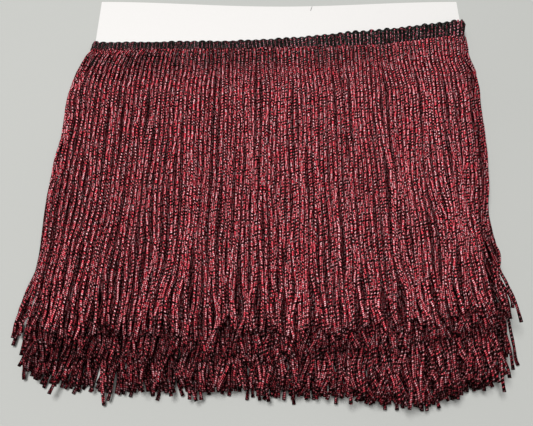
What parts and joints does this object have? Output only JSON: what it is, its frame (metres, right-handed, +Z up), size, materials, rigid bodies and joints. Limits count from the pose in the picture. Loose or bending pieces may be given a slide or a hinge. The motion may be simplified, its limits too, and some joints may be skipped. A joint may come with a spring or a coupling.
{
  "type": "chainette fringe trim wound on a card",
  "caption": "Chainette fringe trim with a scalloped woven heading, wound flat round a stiff card in stepped turns, its long cut strands lying in layers on the surface below.",
  "frame": {"origin": "middle of the base of the box round the whole part, on the surface that it lies on", "axes": "+Z up from that surface, +Y from the strands' tips towards the card's bare top edge, +X along the heading"},
  "size_m": [0.2634, 0.2644, 0.0101],
  "materials": {
    "fringe_yarn": "burgundy and black marled rayon chainette with a soft sheen",
    "heading_yarn": "black ribbed heading with a few dark red specks, matt",
    "card": "smooth matt white board"
  },
  "bodies": {
    "root": {"fringe": "fringe_yarn", "heading": "heading_yarn", "winding_card": "card"}
  },
  "joints": []
}
